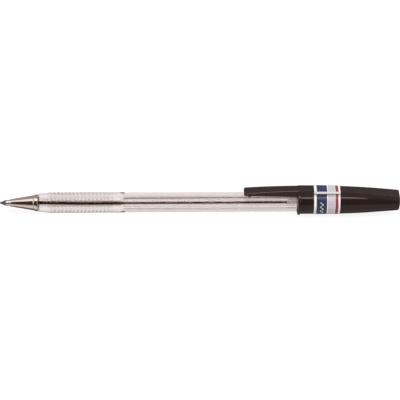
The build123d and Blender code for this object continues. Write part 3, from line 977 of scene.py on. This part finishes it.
# %% [markdown]
# ## Printed film
# The label is a white film printed with plain bands, which change only along the pen, so one station drives
# them all and no picture is needed. An attribute holds the distance round the film from its seam: it leaves
# a white margin beside the seam, and it draws a short wavy pen stroke on the dark band.

# %% Finish of the label
BANDS = (
    (126.3, 130.45, linear(44, 52, 80)),
    (130.8, 133.55, linear(196, 188, 192)),
    (133.75, 134.95, linear(150, 58, 62)),
)
BAND_SOFTNESS, BAND_WANDER, SEAM_MARGIN = 0.05, 0.06, 0.9
FILM_WHITE, FILM_GREY = linear(238, 233, 232), linear(228, 222, 222)
STROKE_STATION, STROKE_SWING, STROKE_PERIOD = 128.4, 0.55, 1.9
STROKE_START, STROKE_END = 3.3, 8.7


def printed_film():
    material, paint = new_finish("label_film")
    fibre = grain(paint, (2600, 2600, 2600))
    station = station_of(paint) + (fibre - 0.5) * BAND_WANDER
    around = paint.node("Attribute", {"attribute_name": "around"}, out="Fac")
    margin = film_length - SEAM_MARGIN
    printed = 1 - around.step(margin - BAND_SOFTNESS, margin + BAND_SOFTNESS)
    colour = fibre.tint(FILM_WHITE, FILM_GREY)
    for front, back, ink in BANDS:
        band = station.between(front, back, BAND_SOFTNESS) * printed
        colour = band.tint(colour, ink)
    wave = (around * (2 * math.pi / STROKE_PERIOD)).math("SINE") * STROKE_SWING + STROKE_STATION
    off_line = (station - wave).math("ABSOLUTE")
    stroke = (1 - off_line.step(0.12, 0.2)) * around.between(STROKE_START, STROKE_END, 0.1)
    look = {
        "Base Color": stroke.tint(colour, FILM_WHITE),
        "Roughness": 0.28 + 0.12 * fibre,
        "IOR": 1.5,
        "Normal": bumped(paint, fibre, strength=0.05, distance=2e-5),
    }
    return finished(material, paint, look)


# %% [markdown]
# ## Dressing the pen
# Each skin takes the place of its solid, moves with that solid's body, and has the finish of its material
# slot. How far a skin's box lies from its solid's is printed, because a slip of the hand in a size shows up
# there first. Only the refill's is more than a hair, by its sag.

# %% Finishes on their pieces
def dress(piece, body, node, material):
    piece.data.materials.append(material)
    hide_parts(node)
    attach(piece, body)
    own = np.empty(3 * len(piece.data.vertices))
    piece.data.vertices.foreach_get("co", own)
    own = own.reshape(-1, 3)
    off = np.abs(np.array([own.min(axis=0), own.max(axis=0)]) - np.array(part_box(node))).max()
    print(f"{node}: box within {1000 * off:.2f} mm of the solid")


plated = turned_metal("plated_metal", PLATED_COLOURS, feed=9.0, gloss=0.09, depth=1.2e-6)
bare_point = turned_metal("point_metal", POINT_COLOURS, feed=14.0, gloss=0.16, depth=2e-6, stained=2.7)
hard_ball = turned_metal("ball_metal", BALL_COLOURS, feed=30.0, gloss=0.08, depth=5e-7)
dress(writing_ball, "ball", "writing_ball", hard_ball)
dress(point_socket, "refill", "point_socket", bare_point)
dress(refill_tube, "refill", "refill_tube", tube_plastic())
dress(ink_column, "refill", "ink_column", ink_paste())
dress(nose_cone, "cone", "nose_cone", plated)
dress(barrel, "barrel", "barrel", clear_plastic())
dress(tail_plug, "barrel", "tail_plug", milky_plastic())
dress(cap, "cap", "cap", black_plastic())
dress(cap_label, "cap", "cap_label", printed_film())

# %% [markdown]
# ## Floor
# The pen lies on white paper. More light would whiten the paper and wash out the pen, so the paper glows
# white to the camera and through clear plastic, and part of it is still lit, which keeps a faint shadow.
# What the polished pieces mirror is set apart: grey paper, with a painted shadow close under the pen, and a
# painted glowing white strip beside the cone to brighten its lower half.

# %% Floor
FLOOR_HALF = 3.0
PAPER_GLOW, GLOW_SHARE = 1.1, 0.8
# Painted shadow close under the pen and a painted glowing strip beside the cone, both seen only in
# reflections.
CLOSE_LOW, CLOSE_HIGH = -4.8, 6.0
STRIP_LOW, STRIP_HIGH = -26.0, -6.0
STRIP_FADE, STRIP_END = -70.0, -50.0
PAINTED_SHADOW_GREY, FURTHER_OUT, PAINTED_STRIP_GLOW = 0.12, 0.38, 0.5

floor_mesh = bpy.data.meshes.new("floor")
floor_corners = np.array([[-1, -1, 0], [1, -1, 0], [1, 1, 0], [-1, 1, 0]]) * FLOOR_HALF
floor_mesh.from_pydata(floor_corners.tolist(), [], [[0, 1, 2, 3]])
floor = bpy.data.objects.new("floor", floor_mesh)
bpy.context.scene.collection.objects.link(floor)


def white_paper():
    material, paint = new_finish("white_paper")
    by_camera, through, by_gloss = (
        paint.node("LightPath", out=f"Is {kind} Ray") for kind in ("Camera", "Transmission", "Glossy")
    )
    seen = (by_camera + through).clamped()
    lit = paint.node("BsdfDiffuse", None, {"Color": (0.8, 0.8, 0.8, 1)})
    glow = paint.node("Emission", None, {"Color": (1, 1, 1, 1), "Strength": PAPER_GLOW})
    paper = paint.node("MixShader", None, {0: seen * GLOW_SHARE, 1: lit, 2: glow})
    across, along = in_millimetres(paint, "Y"), in_millimetres(paint, "X")
    # Painted shadow: the mirrored floor darkens in a strip close under the pen.
    outside_painted_shadow = 1 - across.between(CLOSE_LOW, CLOSE_HIGH, 1)
    # Painted reflection: a glowing white strip beside the cone, seen only in reflections.
    painted_strip = across.between(STRIP_LOW, STRIP_HIGH, 1.5) * (1 - along.step(STRIP_FADE, STRIP_END))
    shade = FURTHER_OUT * outside_painted_shadow + PAINTED_STRIP_GLOW * painted_strip + PAINTED_SHADOW_GREY
    mirrored = paint.node("Emission", None, {"Color": (1, 1, 1, 1), "Strength": shade})
    only_mirrored = (by_gloss - through).clamped()
    surfaced(paint, paint.node("MixShader", None, {0: only_mirrored, 1: paper, 2: mirrored}))
    return material


floor_mesh.materials.append(white_paper())
print(f"floor {2 * FLOOR_HALF:.0f} m wide")

# %% [markdown]
# ## Lamps
# On a product table the light comes from soft boxes. One big lamp would light both ends of the pen alike,
# so two hang overhead, one beyond each end, facing nearly straight down: a narrow bright one for the cap,
# which draws a crisp line on the ridge's foot, and a broad weak one for the point. Two small ones stand
# left and right.

# %% Lamps
def softbox(name, place, size, watts, aim=0.0):
    """A rectangular lamp that looks at a point on the floor, some way along the pen from its middle."""
    lamp = bpy.data.lights.new(name, "AREA")
    lamp.shape, lamp.size, lamp.size_y, lamp.energy = "RECTANGLE", *size, watts
    made = bpy.data.objects.new(name, lamp)
    made.location = place
    made.rotation_mode = "QUATERNION"
    made.rotation_quaternion = (Vector((aim, 0, 0)) - made.location).to_track_quat("-Z", "Y")
    bpy.context.scene.collection.objects.link(made)
    print(f"{name}: {watts} W at {place} m")


softbox("cap_light", (0.2, -0.12, 0.6), (0.8, 0.28), 2.8, aim=0.2)
softbox("point_light", (-0.45, -0.03, 0.6), (0.5, 0.42), 0.66, aim=-0.45)
softbox("left_light", (-0.85, -0.45, 0.5), (0.35, 0.35), 3.4)
softbox("right_light", (0.85, -0.45, 0.5), (0.35, 0.35), 3.4)

# %% [markdown]
# ## Surroundings
# Metal and clear plastic look like what stands round them. The room is grey, and dark behind the camera:
# that dark side draws the black band along the middle of the cone. A white sweep stands at the back for
# rays that pass through the clear pieces. An angle of elevation, 0 at the near horizon, 90 overhead and 180
# at the far one, is all that the room needs.

# %% Surroundings
ROOM_GREY, DARK_DROP, SWEEP_WHITE = 0.45, 0.42, 0.9
DARK_LOW, DARK_HIGH, DARK_SOFT = math.radians(4), math.radians(69), math.radians(4)
SWEEP_LOW, SWEEP_HIGH = math.radians(120), math.radians(140)

world = bpy.data.worlds.new("studio")
bpy.context.scene.world = world
world.use_nodes = True
world.node_tree.nodes.clear()
room = Wire(world.node_tree)
direction = room.node("TexCoord", out="Generated")
depth = room.node("SeparateXYZ", None, {"Vector": direction}, out="Y")
height = room.node("SeparateXYZ", None, {"Vector": direction}, out="Z")
elevation = height.math("ARCTAN2", 0 - depth)
ambient = ROOM_GREY - DARK_DROP * elevation.between(DARK_LOW, DARK_HIGH, DARK_SOFT)
sweep = elevation.step(SWEEP_LOW, SWEEP_HIGH) * room.node("LightPath", out="Is Transmission Ray")
seen = (room.node("LightPath", out="Is Camera Ray") + SWEEP_WHITE * sweep).clamped()
strength = ambient + seen * (1 - ambient)
sky = room.node("Background", None, {"Color": (1, 1, 1, 1), "Strength": strength})
room.node("OutputWorld", None, {"Surface": sky})
print(f"room: {len(world.node_tree.nodes)} nodes")

# %% [markdown]
# ## Camera
# The pen fills the picture from edge to edge, seen from a little above its near side with a long lens. The
# axis lies just under the middle of the picture, with the cap's end a touch higher than the point. Aiming
# the camera a little above the axis and rolling it does this without shifting the lens.

# %% Camera
PICTURE = 400
MM_PER_PIXEL = 0.4
FIELD_OF_VIEW = math.radians(18)
CAMERA_ELEVATION, CAMERA_ROLL = math.radians(40), math.radians(-0.27)
AXIS_BELOW_CENTRE, PEN_LEFT_OF_CENTRE = 1.95, 0.2

pixel = MM_PER_PIXEL * MM
distance = PICTURE * pixel / 2 / math.tan(FIELD_OF_VIEW / 2)
to_camera = Vector((0, -math.cos(CAMERA_ELEVATION), math.sin(CAMERA_ELEVATION)))
picture_up = Vector((0, math.sin(CAMERA_ELEVATION), math.cos(CAMERA_ELEVATION)))
on_axis = Vector((PEN_LEFT_OF_CENTRE * pixel, 0, AXIS_HEIGHT * MM))
target = on_axis + picture_up * (AXIS_BELOW_CENTRE * pixel)
lens = bpy.data.cameras.new("camera")
lens.sensor_fit, lens.angle = "HORIZONTAL", FIELD_OF_VIEW
lens.clip_start, lens.clip_end = 0.01, 20
camera = bpy.data.objects.new("camera", lens)
facing = (-to_camera).to_track_quat("-Z", "Y").to_matrix().to_4x4()
rolled = facing @ Matrix.Rotation(CAMERA_ROLL, 4, "Z")
camera.matrix_world = Matrix.Translation(target + to_camera * distance) @ rolled
bpy.context.scene.collection.objects.link(camera)
bpy.context.scene.camera = camera
bpy.context.scene.view_settings.view_transform = "Standard"
print(f"camera {1000 * distance:.0f} mm away")
